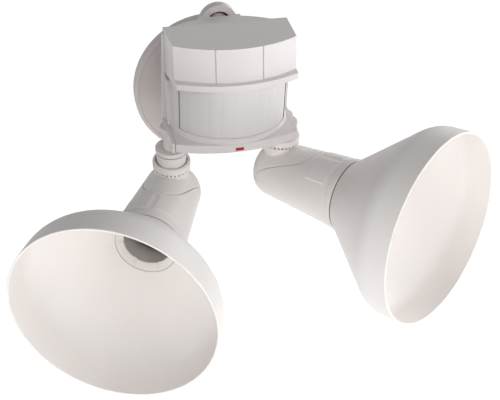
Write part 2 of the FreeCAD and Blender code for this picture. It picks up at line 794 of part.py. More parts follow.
def holder_hollow():
    """Room for the socket: a straight bore that opens evenly to the mouth."""
    mouth = holder_mouth_radius - holder_wall
    floor = -holder_floor_run
    return turned(path(
        V(0, floor, 0),
        V(insulator_radius + seat_gap, floor, 0),
        V(insulator_radius + seat_gap, floor - 14.0, 0),
        V(holder_radius_at(40.0) - holder_wall, -40.0, 0),
        V(mouth, -holder_mouth_run, 0),
        V(0, -holder_mouth_run, 0)))


def holder_cave(front_radius, front_y):
    """Room inside the rounded back of the lampholder, as far as front_y."""
    radius, back = holder_radius - holder_wall, holder_back - holder_wall
    mid = math.radians(45)
    return turned(path(
        V(0, back, 0),
        (V(radius * math.sin(mid), back * math.cos(mid), 0), V(radius, 0, 0)),
        V(front_radius, front_y, 0),
        V(0, front_y, 0)))


def seam_slab(offset):
    """Everything above the sloping seam that parts the cap from the body, moved up by offset."""
    top_radius = holder_radius_at(seam_front_run)
    slope = math.atan2(top_radius - seam_back_height, seam_front_run + holder_back)
    far = 120.0
    back = V(-far, holder_back, seam_back_height)
    along = V(0, -math.cos(slope), math.sin(slope))
    square = V(0, math.sin(slope), math.cos(slope))
    start = back - along * far + square * offset
    end = start + along * 3 * far
    corners = path(start, end, end + square * far, start + square * far)
    return raised(corners, V(2 * far, 0, 0))


def boss(extra):
    """Round boss from the land under the teeth down into the lampholder."""
    return rod(boss_radius + extra, V(0, 0, -axis_drop + 6.0), V(0, 0, -turn_gap + extra))


def holder_cap():
    """Back upper part of the lampholder, with the round boss that the cup turns on."""
    cap = along_lamp(holder_solid().common(seam_slab(seam_gap / 2)))
    whole = fused(cap, boss(0))
    cave = along_lamp(holder_cave(holder_radius_at(seam_front_run) - holder_wall, -seam_front_run - 8))
    well = rod(boss_radius - head_wall, V(0, 0, -axis_drop - 5), V(0, 0, -boss_wall()))
    hole = rod(clamp_screw_radius + fit_gap, V(0, 0, -axis_drop), V(0, 0, 1))
    below = along_lamp(seam_slab(seam_gap / 2))
    land = rod(cup_radius + 1.0, V(0, 0, -turn_gap), V(0, 0, 10))
    return whole.common(below).cut(cave).cut(well).cut(hole).cut(land)


def holder_body():
    """Lower and front part of the lampholder, open at the mouth and bored for the socket."""
    body = holder_solid().cut(seam_slab(-seam_gap / 2)).cut(holder_hollow())
    cave = holder_cave(holder_radius - holder_wall, -holder_floor_run + holder_wall)
    return along_lamp(body.cut(cave)).cut(boss(seat_gap))


def socket_insulator():
    floor = -holder_floor_run - seat_gap
    return along_lamp(turned(path(
        V(0, floor, 0),
        V(insulator_radius, floor, 0),
        V(insulator_radius, -insulator_end_run, 0),
        V(insulator_radius - insulator_wall, -insulator_end_run, 0),
        V(insulator_radius - insulator_wall, floor - insulator_floor, 0),
        V(0, floor - insulator_floor, 0))))


def screw_shell():
    """Metal sleeve that takes the lamp's cap, with an inward lip at its back."""
    floor = -holder_floor_run - seat_gap - insulator_floor - seat_gap
    outer = screw_shell_radius + screw_shell_wall
    return along_lamp(turned(path(
        V(contact_radius + 3.0, floor, 0),
        V(outer, floor, 0),
        V(outer, floor - screw_shell_length, 0),
        V(screw_shell_radius, floor - screw_shell_length, 0),
        V(screw_shell_radius, floor - screw_shell_wall, 0),
        V(contact_radius + 3.0, floor - screw_shell_wall, 0))))


def centre_contact():
    floor = -holder_floor_run - seat_gap - insulator_floor
    back = floor - contact_height
    crown = Part.makeCone(contact_radius, contact_radius / 2, contact_height / 2, V(0, back, 0), -Y_AXIS)
    return along_lamp(fused(rod(contact_radius, V(0, floor, 0), V(0, back, 0)), crown))


def lamp_gasket():
    """Soft ring just inside the mouth that seals round the lamp."""
    start = -holder_mouth_run + lamp_gasket_setback + lamp_gasket_thickness
    outer = holder_radius_at(-start) - holder_wall - seat_gap
    inner = ring_inner_radius + 0.3
    return along_lamp(turned(path(
        V(inner, start, 0),
        V(outer, start, 0),
        V(outer, start - lamp_gasket_thickness, 0),
        V(inner, start - lamp_gasket_thickness, 0))))


def shade():
    """Cone that opens to a short band with a rolled edge, and a flat collar at its neck."""
    neck = -(shade_reach - shade_depth)
    shoulder = -(shade_reach - shade_band_depth)
    mouth = -shade_reach
    half = math.atan2(shade_band_radius - shade_neck_radius, neck - shoulder)
    slant = shade_wall / math.cos(half)
    shell = turned(path(
        V(shade_hole_radius, neck, 0),
        V(shade_neck_radius, neck, 0),
        V(shade_band_radius, shoulder, 0),
        V(shade_mouth_radius, mouth, 0),
        V(shade_mouth_radius - shade_wall, mouth, 0),
        V(shade_band_radius - shade_wall, shoulder - shade_wall * math.tan(half / 2), 0),
        V(shade_neck_radius - slant + shade_wall * math.tan(half), neck - shade_wall, 0),
        V(shade_hole_radius, neck - shade_wall, 0)))
    bead = Part.makeTorus(shade_mouth_radius - shade_bead, shade_bead, V(0, mouth + shade_bead, 0), Y_AXIS)
    return along_lamp(fused(shell, bead))


def shade_ring():
    """Threaded ring through the shade's neck that clamps it against the lampholder."""
    neck = -(shade_reach - shade_depth) - shade_wall - seat_gap
    sleeve = shade_hole_radius - seat_gap
    return along_lamp(turned(path(
        V(ring_inner_radius, neck + 6.0, 0),
        V(sleeve, neck + 6.0, 0),
        V(sleeve, neck, 0),
        V(ring_flange_radius, neck, 0),
        V(ring_flange_radius - 0.6, neck - ring_flange_thickness, 0),
        V(ring_inner_radius, neck - ring_flange_thickness, 0))))


def tilted(shape, name):
    """Tip a lamp piece about the knuckle's ball: positive lifts the lamp."""
    moved = shape.copy()
    moved.rotate(V(0, 0, knuckle_pivot), X_AXIS, -lamp_tilt[name])
    return moved


def placed(shape, side, panned=True):
    """Turn a lamp piece to its side's rest pose and hang it under that side's stem."""
    name, sign = side
    moved = shape.copy()
    if panned:
        moved.rotate(ORIGIN, Z_AXIS, lamp_pan[name])
    moved = tilted(moved, name)
    moved.translate(V(sign * stem_x, stem_y, tooth_z[name]))
    return moved


def build():
    wall = (("wall_gasket", wall_gasket), ("wall_plate", wall_plate), ("box_screws", box_screws),
            ("swivel_arm", swivel_arm), ("arm_washer", arm_washer), ("arm_locknut", arm_locknut),
            ("ball_seat", ball_seat))
    head = (("rear_housing", rear_housing), ("ball_hoop", ball_hoop), ("hood", hood),
            ("sensor_frame", sensor_frame), ("lens", lens), ("base_cover", base_cover),
            ("led_window", led_window), ("indicator_led", indicator_led), ("range_dial", range_dial),
            ("time_slider", time_slider), ("circuit_board", circuit_board), ("board_posts", board_posts),
            ("pyro_sensor", pyro_sensor), ("relay", relay), ("transformer", transformer),
            ("photocell", photocell))
    for name, make in wall + head:
        nodes[name] = make()
    lamp = (("toothed_cup", toothed_cup()), ("clamp_screw", clamp_screw()))
    turning = (("holder_cap", holder_cap()), ("holder_body", holder_body()),
               ("socket_insulator", socket_insulator()), ("screw_shell", screw_shell()),
               ("centre_contact", centre_contact()), ("lamp_gasket", lamp_gasket()),
               ("shade", shade()), ("shade_ring", shade_ring()))
    for side in SIDES:
        nodes[side[0] + "_stem"] = stem(side)
        nodes[side[0] + "_flange_nut"] = flange_nut(side)
        nodes[side[0] + "_collar"] = collar(side)
        for name, shape in lamp:
            nodes[side[0] + "_" + name] = placed(shape, side, panned=False)
        for name, shape in turning:
            nodes[side[0] + "_" + name] = placed(shape, side)


build()
os.makedirs("parts", exist_ok=True)
for name, shape in nodes.items():
    shape.exportStep(os.path.join("parts", name + ".step"))
    print(name, len(shape.Solids), round(shape.Volume, 1), shape.isValid())
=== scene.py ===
import bpy
import json
import math
import numpy as np
from mathutils import Matrix, Vector

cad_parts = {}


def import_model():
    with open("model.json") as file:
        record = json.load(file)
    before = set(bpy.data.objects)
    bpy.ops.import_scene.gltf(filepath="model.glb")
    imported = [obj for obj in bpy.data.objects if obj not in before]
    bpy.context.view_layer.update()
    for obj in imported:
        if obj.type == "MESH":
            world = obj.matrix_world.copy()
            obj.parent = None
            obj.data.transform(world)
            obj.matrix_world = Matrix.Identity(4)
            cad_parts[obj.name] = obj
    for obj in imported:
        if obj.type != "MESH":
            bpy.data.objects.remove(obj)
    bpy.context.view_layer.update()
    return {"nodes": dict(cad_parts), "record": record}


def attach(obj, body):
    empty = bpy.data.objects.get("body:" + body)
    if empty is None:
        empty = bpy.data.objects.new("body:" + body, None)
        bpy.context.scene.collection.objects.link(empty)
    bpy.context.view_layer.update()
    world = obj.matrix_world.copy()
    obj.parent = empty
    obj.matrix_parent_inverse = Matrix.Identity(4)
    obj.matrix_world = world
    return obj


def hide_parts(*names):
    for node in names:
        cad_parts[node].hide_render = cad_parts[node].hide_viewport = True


# Motion sensor security light: a white wall light with a sensor head and two round shades.
# Metres, in the frame of the part: the wall is y = 0, the light faces -Y, +Z is up.

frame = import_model()
nodes = frame["nodes"]


# ---------------------------------------------------------------- finishes

class Finish:
    """One procedural finish: a node tree with a Principled shader, and short calls that add to it."""

    def __init__(self, name, colour, roughness, metallic=0.0, specular=0.5, coat=0.0, coat_roughness=0.1):
        self.material = bpy.data.materials.new(name)
        self.material.use_nodes = True
        self.tree = self.material.node_tree
        self.shader = self.tree.nodes["Principled BSDF"]
        self.shader.inputs["Base Color"].default_value = (*colour, 1)
        self.shader.inputs["Roughness"].default_value = roughness
        self.shader.inputs["Metallic"].default_value = metallic
        self.shader.inputs["Specular IOR Level"].default_value = specular
        self.shader.inputs["Coat Weight"].default_value = coat
        self.shader.inputs["Coat Roughness"].default_value = coat_roughness
        self.colour, self.roughness = colour, roughness
        self.place = self.node("ShaderNodeTexCoord").outputs["Object"]
        self.normal = None

    def node(self, kind, **settings):
        made = self.tree.nodes.new(kind)
        for key, value in settings.items():
            setattr(made, key, value)
        return made

    def link(self, a, b):
        self.tree.links.new(a, b)

    def noise(self, scale, detail=4.0):
        """Fractal noise on the piece's own coordinates."""
        made = self.node("ShaderNodeTexNoise")
        made.inputs["Scale"].default_value = scale
        made.inputs["Detail"].default_value = detail
        made.inputs["Roughness"].default_value = 0.55
        self.link(self.place, made.inputs["Vector"])
        return made.outputs["Fac"]

    def span(self, value, low, high, out_low, out_high):
        """Carry a value from one range to another, held inside it."""
        made = self.node("ShaderNodeMapRange")
        for key, number in (("From Min", low), ("From Max", high), ("To Min", out_low), ("To Max", out_high)):
            made.inputs[key].default_value = number
        self.link(value, made.inputs["Value"])
        return made.outputs["Result"]

    def math(self, kind, a, b):
        made = self.node("ShaderNodeMath", operation=kind)
        for socket, value in zip(made.inputs, (a, b)):
            if isinstance(value, (int, float)):
                socket.default_value = value
            else:
                self.link(value, socket)
        return made.outputs["Value"]

    def tint(self, amount, other):
        """Blend the colour so far towards another by an amount from 0 to 1."""
        made = self.node("ShaderNodeMix", data_type="RGBA")
        self.link(amount, made.inputs["Factor"])
        socket = self.shader.inputs["Base Color"]
        if socket.is_linked:
            self.link(socket.links[0].from_socket, made.inputs["A"])
        else:
            made.inputs["A"].default_value = (*self.colour, 1)
        made.inputs["B"].default_value = (*other, 1)
        self.link(made.outputs["Result"], socket)

    def mottle(self, scale, share, other):
        """Soft clouds of a second tone."""
        self.tint(self.span(self.noise(scale), 0.35, 0.7, 0.0, share), other)

    def gloss(self, scale, spread):
        """Roughness that wanders round its middle value."""
        wander = self.span(self.noise(scale, 3.0), 0.3, 0.7, self.roughness - spread, self.roughness + spread)
        self.link(wander, self.shader.inputs["Roughness"])

    def grain(self, height, depth):
        """Raise the surface by a height value; grains add up."""
        made = self.node("ShaderNodeBump")
        made.inputs["Distance"].default_value = depth
        made.inputs["Strength"].default_value = 1.0
        self.link(height, made.inputs["Height"])
        if self.normal is not None:
            self.link(self.normal, made.inputs["Normal"])
        self.normal = made.outputs["Normal"]
        self.link(self.normal, self.shader.inputs["Normal"])

    def soften(self, radius):
        """Round the look of sharp edges by a small radius. Comes before any grain."""
        made = self.node("ShaderNodeBevel", samples=4)
        made.inputs["Radius"].default_value = radius
        self.normal = made.outputs["Normal"]
        self.link(self.normal, self.shader.inputs["Normal"])

    def worn_edges(self, radius, share, other):
        """Blend towards another tone where the surface turns sharply, broken up by noise."""
        flat_turn, sharp_turn = 0.985, 0.8       # cosines between the rounded and the true normal
        bevel = self.node("ShaderNodeBevel", samples=4)
        bevel.inputs["Radius"].default_value = radius
        flat = self.node("ShaderNodeNewGeometry").outputs["Normal"]
        dot = self.node("ShaderNodeVectorMath", operation="DOT_PRODUCT")
        self.link(bevel.outputs["Normal"], dot.inputs[0])
        self.link(flat, dot.inputs[1])
        edge = self.span(dot.outputs["Value"], flat_turn, sharp_turn, 0.0, share)
        patches = self.span(self.noise(260.0, 3.0), 0.4, 0.6, 0.2, 1.0)
        self.tint(self.math("MULTIPLY", edge, patches), other)


def enamel(name, colour, roughness=0.46):
    """Stoved white enamel on metal: faint orange peel and slight clouding."""
    made = Finish(name, colour, roughness, specular=0.3, coat=0.03, coat_roughness=0.3)
    made.soften(0.0004)
    made.mottle(7.0, 0.3, (colour[0] * 0.985, colour[1] * 0.97, colour[2] * 0.945))
    made.gloss(9.0, 0.04)
    made.grain(made.noise(900.0, 2.0), 0.00002)
    made.grain(made.noise(170.0, 2.0), 0.00003)
    return made


def moulding(name, colour, roughness=0.38, grain=0.00002):
    """Moulded plastic: fine spark grain, gentle clouding and a soft edge."""
    made = Finish(name, colour, roughness, specular=0.3)
    made.soften(0.0004)
    made.mottle(24.0, 0.3, tuple(c * 0.96 for c in colour))
    made.gloss(90.0, 0.05)
    made.grain(made.noise(2600.0, 3.0), grain)
    made.worn_edges(0.0006, 0.25, tuple(min(1.0, c * 1.04) for c in colour))
    return made


def milky(name, colour):
    """Thin milky plastic of the lens, with faint darker upright bands painted in as the shade of its fresnel
    panels.
    """
    shade_band_pitch, row_pitch = 0.0136, 0.0011
    made = Finish(name, colour, 0.34, specular=0.35)
    made.shader.inputs["Subsurface Weight"].default_value = 0.25
    made.shader.inputs["Subsurface Radius"].default_value = (0.004, 0.004, 0.0035)
    made.shader.inputs["Subsurface Scale"].default_value = 1.0
    axes = made.node("ShaderNodeSeparateXYZ")
    made.link(made.place, axes.inputs["Vector"])
    across = made.math("MULTIPLY", axes.outputs["X"], 2 * math.pi / shade_band_pitch)
    panel = made.math("SINE", across, 0.0)
    # Painted shade: the colour darkens in upright bands across x, standing for the fresnel panels.
    made.tint(made.span(panel, 0.2, 1.0, 0.0, 0.25), tuple(c * 0.965 for c in colour))
    made.mottle(30.0, 0.25, tuple(c * 0.97 for c in colour))
    made.gloss(70.0, 0.05)
    up = made.math("MULTIPLY", axes.outputs["Z"], 2 * math.pi / row_pitch)
    rows = made.math("SINE", up, 0.0)
    made.grain(rows, 0.00001)
    return made


def rubbery(name, colour, roughness=0.7):
    """Foam or silicone: open fine pores and a matt skin."""
    made = Finish(name, colour, roughness, specular=0.3)
    made.mottle(140.0, 0.5, tuple(c * 0.86 for c in colour))
    made.gloss(60.0, 0.06)
    made.grain(made.noise(1400.0, 4.0), 0.00008)
    return made


def plated(name, colour, roughness=0.34):
    """Plated or bare metal: fine grain, dull patches and brighter edges."""
    made = Finish(name, colour, roughness, metallic=1.0)
    made.soften(0.0002)
    made.mottle(90.0, 0.5, tuple(c * 0.78 for c in colour))
    made.gloss(160.0, 0.1)
    made.grain(made.noise(700.0, 3.0), 0.00002)
    made.worn_edges(0.0004, 0.5, tuple(min(1.0, c * 1.15) for c in colour))
    return made


def dark_part(name, colour, roughness=0.5):
    """Small dark mouldings inside: matt, with a little dust."""
    made = Finish(name, colour, roughness, specular=0.4)
    made.soften(0.0003)
    made.mottle(120.0, 0.4, tuple(min(1.0, c * 1.8 + 0.02) for c in colour))
    made.gloss(120.0, 0.08)
    made.grain(made.noise(1500.0, 3.0), 0.00003)
    return made


finishes = {
    # This enamel is the same white as the lamps'; its darker colour is painted shade.
    "painted": enamel("plate_enamel_painted_shade", (0.665, 0.61, 0.595)),
    "paint_lamp": enamel("lamp_enamel", (0.875, 0.84, 0.82)),
    "housing": moulding("head_moulding", (0.80, 0.76, 0.758)),
    "lens": milky("lens_milk", (0.82, 0.79, 0.78)),
    "red_window": moulding("red_window", (0.44, 0.010, 0.006), 0.18, 0.000004),
    "foam": rubbery("foam_ring", (0.72, 0.72, 0.70)),
    "silicone": rubbery("silicone_ring", (0.80, 0.77, 0.70), 0.45),
    "seat": dark_part("seat_black", (0.03, 0.03, 0.03)),
    "nylon": moulding("nylon", (0.78, 0.75, 0.715), 0.42),
    "zinc": plated("zinc_plate", (0.62, 0.62, 0.61)),
    "brass": plated("brass_shell", (0.72, 0.57, 0.30), 0.3),
    "phenolic": dark_part("socket_moulding", (0.15, 0.14, 0.13)),
    "board": dark_part("board_green", (0.03, 0.16, 0.07), 0.35),
    "black": dark_part("relay_black", (0.02, 0.02, 0.02)),
    "core": plated("iron_core", (0.35, 0.33, 0.30), 0.5),
    "sensor_can": plated("sensor_can", (0.68, 0.68, 0.67), 0.25),
    "cell": dark_part("photocell_red", (0.30, 0.12, 0.05), 0.4),
}
slot_of = {s["node"]: s["material_slot"] for s in frame["record"]["subparts"]}
for name, piece in nodes.items():
    piece.data.materials.clear()
    piece.data.materials.append(finishes[slot_of[name]].material)


# ---------------------------------------------------------------- sizes and places, millimetres and degrees

mm = 0.001
axis_drop = 27.0                    # from the teeth down to the lamp's own axis
axis_rise = 5.7                     # degrees that this axis rises from square to the knuckle
knuckle_pivot = 7.0                 # from the teeth up to the knuckle's ball
lamp_sides = {
    "left": {"teeth": (-44.5, -70.5, -31.4), "tilt": -3.2, "pan": -25.3, "stem_low": -19.4},
    "right": {"teeth": (44.5, -70.5, -18.9), "tilt": 3.0, "pan": 33.2, "stem_low": -6.9},
}

# A run is measured forward along the lamp's axis, from the knuckle's axis.
holder_back = 17.3                  # how far the lampholder reaches behind the knuckle's axis
holder_radius = 23.4                # where its rounded back ends
holder_mouth_radius = 28.4
holder_mouth_run = 72.5
holder_wall = 2.6
back_share = 0.36                   # share of the outline that is the rounded back
back_squareness = 2.5               # 2 would be an ellipse
seam_start, seam_run = -8.0, 39.0   # runs at which the seam springs up and at which it reaches the top
seam_low = -1.0                     # its height behind its start
seam_half_gap = 0.16
edge_depth = 0.25                   # how far the edges at the seam are dulled,
edge_sharpness = 160                # and how quickly that ends along the outline
land_top, land_underside = -0.3, -2.9
land_outer, land_fade = 17.1, 1.2   # distance at which the land has faded out, and the width of its fade
around = np.linspace(0.0, 2 * np.pi, 192, endpoint=False)


def turn_matrix(axis, degrees):
    c, s = math.cos(math.radians(degrees)), math.sin(math.radians(degrees))
    if axis == "x":
        return np.array(((1, 0, 0), (0, c, -s), (0, s, c)))
    return np.array(((c, -s, 0), (s, c, 0), (0, 0, 1)))


def from_teeth(points, side):
    """Place points given at the teeth, millimetres: pan about z, tilt about the ball, then out to that
    side."""
    ball = np.array((0.0, 0.0, knuckle_pivot))
    place = lamp_sides[side]
    turned = points @ turn_matrix("z", place["pan"]).T
    tipped = (turned - ball) @ turn_matrix("x", -place["tilt"]).T + ball
    return (tipped + np.array(place["teeth"])) * mm


def from_lamp(points, side):
    """Place points given on the lamp's own axis, which runs along -y, millimetres."""
    risen = points @ turn_matrix("x", -axis_rise).T
    return from_teeth(risen + np.array((0.0, 0.0, -axis_drop)), side)


def with_land(grid):
    """Level the lampholder off under its teeth: there a point higher than the land comes down to it,
    z' = z - w max(z - land, 0), where w falls from 1 to 0 over the fade of the land. The first half of the
    rows is the outer face, and the rest the inner one, which has a level of its own."""
    risen = grid @ turn_matrix("x", -axis_rise).T - (0.0, 0.0, axis_drop)
    away = np.hypot(risen[..., 0], risen[..., 1])
    share = np.clip((land_outer - away) / land_fade, 0, 1)
    level = np.where(np.arange(len(grid))[:, None] < len(grid) // 2, land_top, land_underside)
    risen[..., 2] -= share * np.maximum(risen[..., 2] - level, 0)
    return (risen + (0.0, 0.0, axis_drop)) @ turn_matrix("x", axis_rise).T


def skin(name, grid, body, slot, stands_for, ends="ring"):
    """Mesh on a grid of points: rows of points that close round on themselves. The rows join up last to
    first ("ring"), or the first and last rows shrink to one point each ("poles"), or those rows are thin
    loops that are closed straight across ("strip"). Turned inside out where its volume comes out negative."""
    sharp_angle = 32
    rows, columns = grid.shape[:2]
    index = np.arange(rows * columns).reshape(rows, columns)
    following = np.roll(index, -1, axis=1)
    points = grid.reshape(-1, 3)
    if ends == "ring":
        index, following = np.vstack((index, index[:1])), np.vstack((following, following[:1]))
    quads = np.stack((index[:-1], following[:-1], following[1:], index[1:]), axis=-1).reshape(-1, 4)
    if ends == "strip":
        half = columns // 2
        near = np.arange(half - 1)
        lid = np.stack((near, columns - 1 - near, columns - 2 - near, near + 1), axis=-1)
        quads = np.vstack((quads, lid, (lid + (rows - 1) * columns)[:, ::-1]))
    faces = quads.tolist()
    corners = np.vstack((quads[:, (0, 1, 2)], quads[:, (0, 2, 3)]))
    if ends == "poles":
        count = len(points)
        points = np.vstack((points, grid[0].mean(axis=0), grid[-1].mean(axis=0)))
        first = np.stack((following[0], index[0], np.full(columns, count)), axis=-1)
        last = np.stack((index[-1], following[-1], np.full(columns, count + 1)), axis=-1)
        faces += first.tolist() + last.tolist()
        corners = np.vstack((corners, first, last))
    a, b, c = points[corners[:, 0]], points[corners[:, 1]], points[corners[:, 2]]
    if np.einsum("ij,ij->i", a, np.cross(b, c)).sum() < 0:
        faces = [face[::-1] for face in faces]
    mesh = bpy.data.meshes.new(name)
    mesh.from_pydata(points.tolist(), [], faces)
    mesh.polygons.foreach_set("use_smooth", np.ones(len(faces), dtype=bool))
    mesh.set_sharp_from_angle(angle=math.radians(sharp_angle))
    mesh.materials.append(finishes[slot].material)
    piece = bpy.data.objects.new(name, mesh)
    bpy.context.scene.collection.objects.link(piece)
    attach(piece, body)
    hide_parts(*stands_for)


def lamp_skin(side, name, grid, slot, node, ends="ring"):
    """Mesh of one piece that turns with a lamp, on a grid of points given on the lamp's own axis."""
    skin(side + "_" + name, from_lamp(grid, side), side + "_lamp", slot, (side + "_" + node,), ends)


def rounded(corners, steps=7):
    """Outline through corners (run, radius, rounding): each corner with a rounding becomes an arc, the curve
    P = (1-t)^2 A + 2t(1-t) C + t^2 B between the two points that lie one rounding away from the corner C."""
    corners = np.array(corners, dtype=float)
    here, size = corners[:, :2], corners[:, 2]
    before, after = np.roll(here, 1, axis=0) - here, np.roll(here, -1, axis=0) - here
    before /= np.linalg.norm(before, axis=1)[:, None]
    after /= np.linalg.norm(after, axis=1)[:, None]
    t = np.linspace(0, 1, steps)[None, :, None]
    start, end = (here + before * size[:, None])[:, None], (here + after * size[:, None])[:, None]
    return ((1 - t) ** 2 * start + 2 * t * (1 - t) * here[:, None] + t ** 2 * end).reshape(-1, 2)


def turned_round(outline, turns=around):
    """Carry an outline (run, radius) once round the lamp's axis: x = r cos a, y = -run, z = r sin a."""
    run, radius = outline[:, :1], outline[:, 1:]
    return np.stack((radius * np.cos(turns), -run + 0 * turns, radius * np.sin(turns)), axis=-1)


def soft_step(value, at, soft):
    """0 well below a place and 1 well above it, with an even slope of that width across it."""
    return np.clip((value - at) / soft + 0.5, 0, 1)


# ---------------------------------------------------------------- shades and their rings

def shade(side):
    """Thin cone that opens to a short band. The outline goes out along the outer face, round the rolled
    edge and back along the inner face, with the shoulder between cone and band softly rounded."""
    outline = rounded((
        (73.4, 23.3, 0.1), (73.4, 28.6, 0.3), (129.3, 71.9, 7.0), (150.2, 72.5, 0.3), (151.5, 72.5, 0.6),
        (151.5, 70.9, 0.7), (149.6, 71.0, 0.5), (129.6, 70.8, 6.4), (73.9, 24.4, 0.4), (73.9, 23.3, 0.2)))
    lamp_skin(side, "shade_skin", turned_round(outline), "paint_lamp", "shade")


def neck_ring(side):
    """Clamping ring of the shade, with a sloping face: an outline carried round, its inner rim sunk where a
    spanner fits. The sinking is a depth times a soft step of the cosine of notches times a, so that as many
    notches stand round it."""
    opening, face_run, face_slope, face_soft = 18.2, 69.6, 0.7, 0.3
    notches, notch_depth, notch_reach = 6, 0.9, 21
    notch_start, notch_soft = 0.86, 0.05
    turns = np.linspace(0.0, 2 * np.pi, 288, endpoint=False)
    outline = rounded(((68.8, opening, 0.2), (68.2, 18.8, 0.2), (72.2, 23.0, 0.2), (73.95, 23.1, 0.1),
                       (73.95, 24.3, 0.1), (74.4, 24.2, 0.2), (73.4, 22.4, 0.8), (70.2, opening, 0.4)), 5)
    run, radius = outline[:, 0], outline[:, 1]
    notch = np.clip((np.cos(notches * turns) - notch_start) / notch_soft, 0, 1)
    ahead = run - face_run - face_slope * (radius - opening)
    front = np.clip(ahead / face_soft, 0, 1) * np.clip(notch_reach - radius, 0, 1)
    grid = turned_round(outline, turns)
    grid[:, :, 1] += notch_depth * front[:, None] * notch[None, :]
    lamp_skin(side, "neck_ring_skin", grid, "nylon", "shade_ring")


# ---------------------------------------------------------------- lampholders

def holder_outline(share, inset=0.0):
    """Run and radius of the lampholder's outline at a share from 0, the middle of its back, to 1, its mouth.
    The back is a squared oval, run = -B cos(p)^(2/n), radius = R sin(p)^(2/n); then it widens evenly."""
    back, radius, mouth = holder_back - inset, holder_radius - inset, holder_mouth_radius - inset
    turn = np.clip(share / back_share, 0, 1) * np.pi / 2
    ahead = np.clip((share - back_share) / (1 - back_share), 0, 1)
    power = 2 / back_squareness
    run = np.where(ahead > 0, ahead * holder_mouth_run, -back * np.abs(np.cos(turn)) ** power)
    wide = np.where(ahead > 0, radius + (mouth - radius) * ahead, radius * np.sin(turn) ** power)
    return run, wide


def seam_share(lift):
    """Share of the outline at which the seam crosses it, for every angle round, by halving the range.
    The seam's height is low + (top - low) (spring t^0.5 + sweep t^9), where t goes from 0 to 1 between its
    start and its end, so that it springs up, runs on straight and sweeps up to the top."""
    spring, sweep, furthest, halvings = 0.87, 0.13, 1.3, 30
    top = holder_outline(np.array(back_share + (1 - back_share) * seam_run / holder_mouth_run))[1]
    low, high = np.zeros_like(around), np.ones_like(around)
    for _ in range(halvings):
        middle = (low + high) / 2
        run, wide = holder_outline(middle)
        way = np.clip((run - seam_start) / (seam_run - seam_start), 0, furthest)
        seam = seam_low + (top - seam_low) * (spring * way ** 0.5 + sweep * way ** 9) + lift
        above = wide * np.sin(around) > seam
        low, high = np.where(above, middle, low), np.where(above, high, middle)
    return (low + high) / 2


def lamp_grid(run, wide):
    return np.stack((wide * np.cos(around), -run, wide * np.sin(around)), axis=-1)


def dulling(share):
    """How far the surface is taken in near the seam, by the share of the outline from there to the seam."""
    return np.exp(-(share * edge_sharpness) ** 2) * edge_depth


def cap(side):
    """Back upper part of the lampholder: the outline from the middle of the back to the seam, then the same
    way back along the inner face, all levelled off to the land under the teeth."""
    first, rows, crowding = 0.012, 120, 0.9      # starts just off the middle of the back
    edge = seam_share(seam_half_gap)
    way = np.linspace(first, 1, rows)[:, None] ** crowding
    run, wide = holder_outline(way * edge)
    inner_run, inner_wide = holder_outline(way[::-1] * edge, holder_wall)
    outer = lamp_grid(run, wide - dulling((1 - way) * edge))
    grid = np.vstack((outer, lamp_grid(inner_run, inner_wide)))
    lamp_skin(side, "cap_skin", with_land(grid), "paint_lamp", "holder_cap", "poles")


def holder(side):
    """Front and lower part of the lampholder: the outline from the seam to the mouth and back inside, all
    levelled off to the land under the teeth. A groove and a proud lip run round near the mouth, and two bare
    oblong pads stand proud on top: each is added to the radius as a product of soft steps of run and
    angle."""
    lip_height, lip_run = 0.8, 67.2
    groove_depth, groove_start, groove_end = 0.5, 65.8, 67.0
    mouth_drop, mouth_round = 0.9, 1.2
    pad_height, pad_start, pad_end = 0.6, 44.0, 62.5
    pad_middles, pad_half_angle = (62.0, 118.0), 24.0
    edge = seam_share(-seam_half_gap)
    way = np.linspace(0, 1, 150)[:, None]
    share = edge + (1 - edge) * way
    run, wide = holder_outline(share)
    lip = (lip_height * soft_step(run, lip_run, 0.6) - groove_depth * soft_step(run, groove_start, 0.5)
           + groove_depth * soft_step(run, groove_end, 0.5))
    rounding = -mouth_drop * np.clip((run - (holder_mouth_run - mouth_round)) / mouth_round, 0, 1) ** 2
    angle = np.degrees(around)[None, :]
    for middle in pad_middles:
        pad = soft_step(run, pad_start, 0.6) * soft_step(-run, -pad_end, 0.6)
        pad = pad * soft_step(angle, middle - pad_half_angle, 1.2)
        pad = pad * soft_step(-angle, -(middle + pad_half_angle), 1.2)
        wide = wide + pad_height * pad
    outer = lamp_grid(run, wide + lip + rounding - dulling(way * (1 - edge)))
    inner_run, inner_wide = holder_outline(share[::-1], holder_wall)
    grid = np.vstack((outer, lamp_grid(inner_run, inner_wide)))
    lamp_skin(side, "holder_skin", with_land(grid), "paint_lamp", "holder_body")


def boss(side):
    """Round boss under the teeth, as radius by height: the flat land, its rounded edge, and a wall that draws
    in a little on its way down into the cap."""
    flat_radius, edge_round, wall_radius, draw = 13.6, 0.7, 14.3, 0.9
    height = np.concatenate((np.full(6, land_top), np.linspace(land_top, -1.0, 5),
                             np.linspace(-1.4, -16.0, 30)))
    across = np.concatenate((np.linspace(0.4, flat_radius, 6),
                             flat_radius + edge_round * np.sin(np.linspace(0, np.pi / 2, 5)),
                             wall_radius - draw * np.linspace(0, 1, 30) ** 0.8))
    grid = np.stack((across[:, None] * np.cos(around), across[:, None] * np.sin(around),
                     height[:, None] + 0 * around), axis=-1)
    skin(side + "_boss_skin", from_teeth(grid, side), side + "_lamp", "paint_lamp",
         (side + "_holder_cap",), "poles")


def gasket_and_joint_shade(side):
    """Black ring in the groove between the lampholder's mouth and the shade, a small ring of oval section. It
    stands for the lamp gasket, and its black is painted shade of that joint."""
    band_run, band_radius, half_depth, half_height = 72.95, 27.9, 0.4, 0.6
    turn = np.linspace(0, 2 * np.pi, 14, endpoint=False)
    outline = np.stack((band_run + half_depth * np.cos(turn), band_radius + half_height * np.sin(turn)),
                       axis=-1)
    lamp_skin(side, "gasket_and_joint_shade", turned_round(outline), "seat", "lamp_gasket")


# ---------------------------------------------------------------- threads

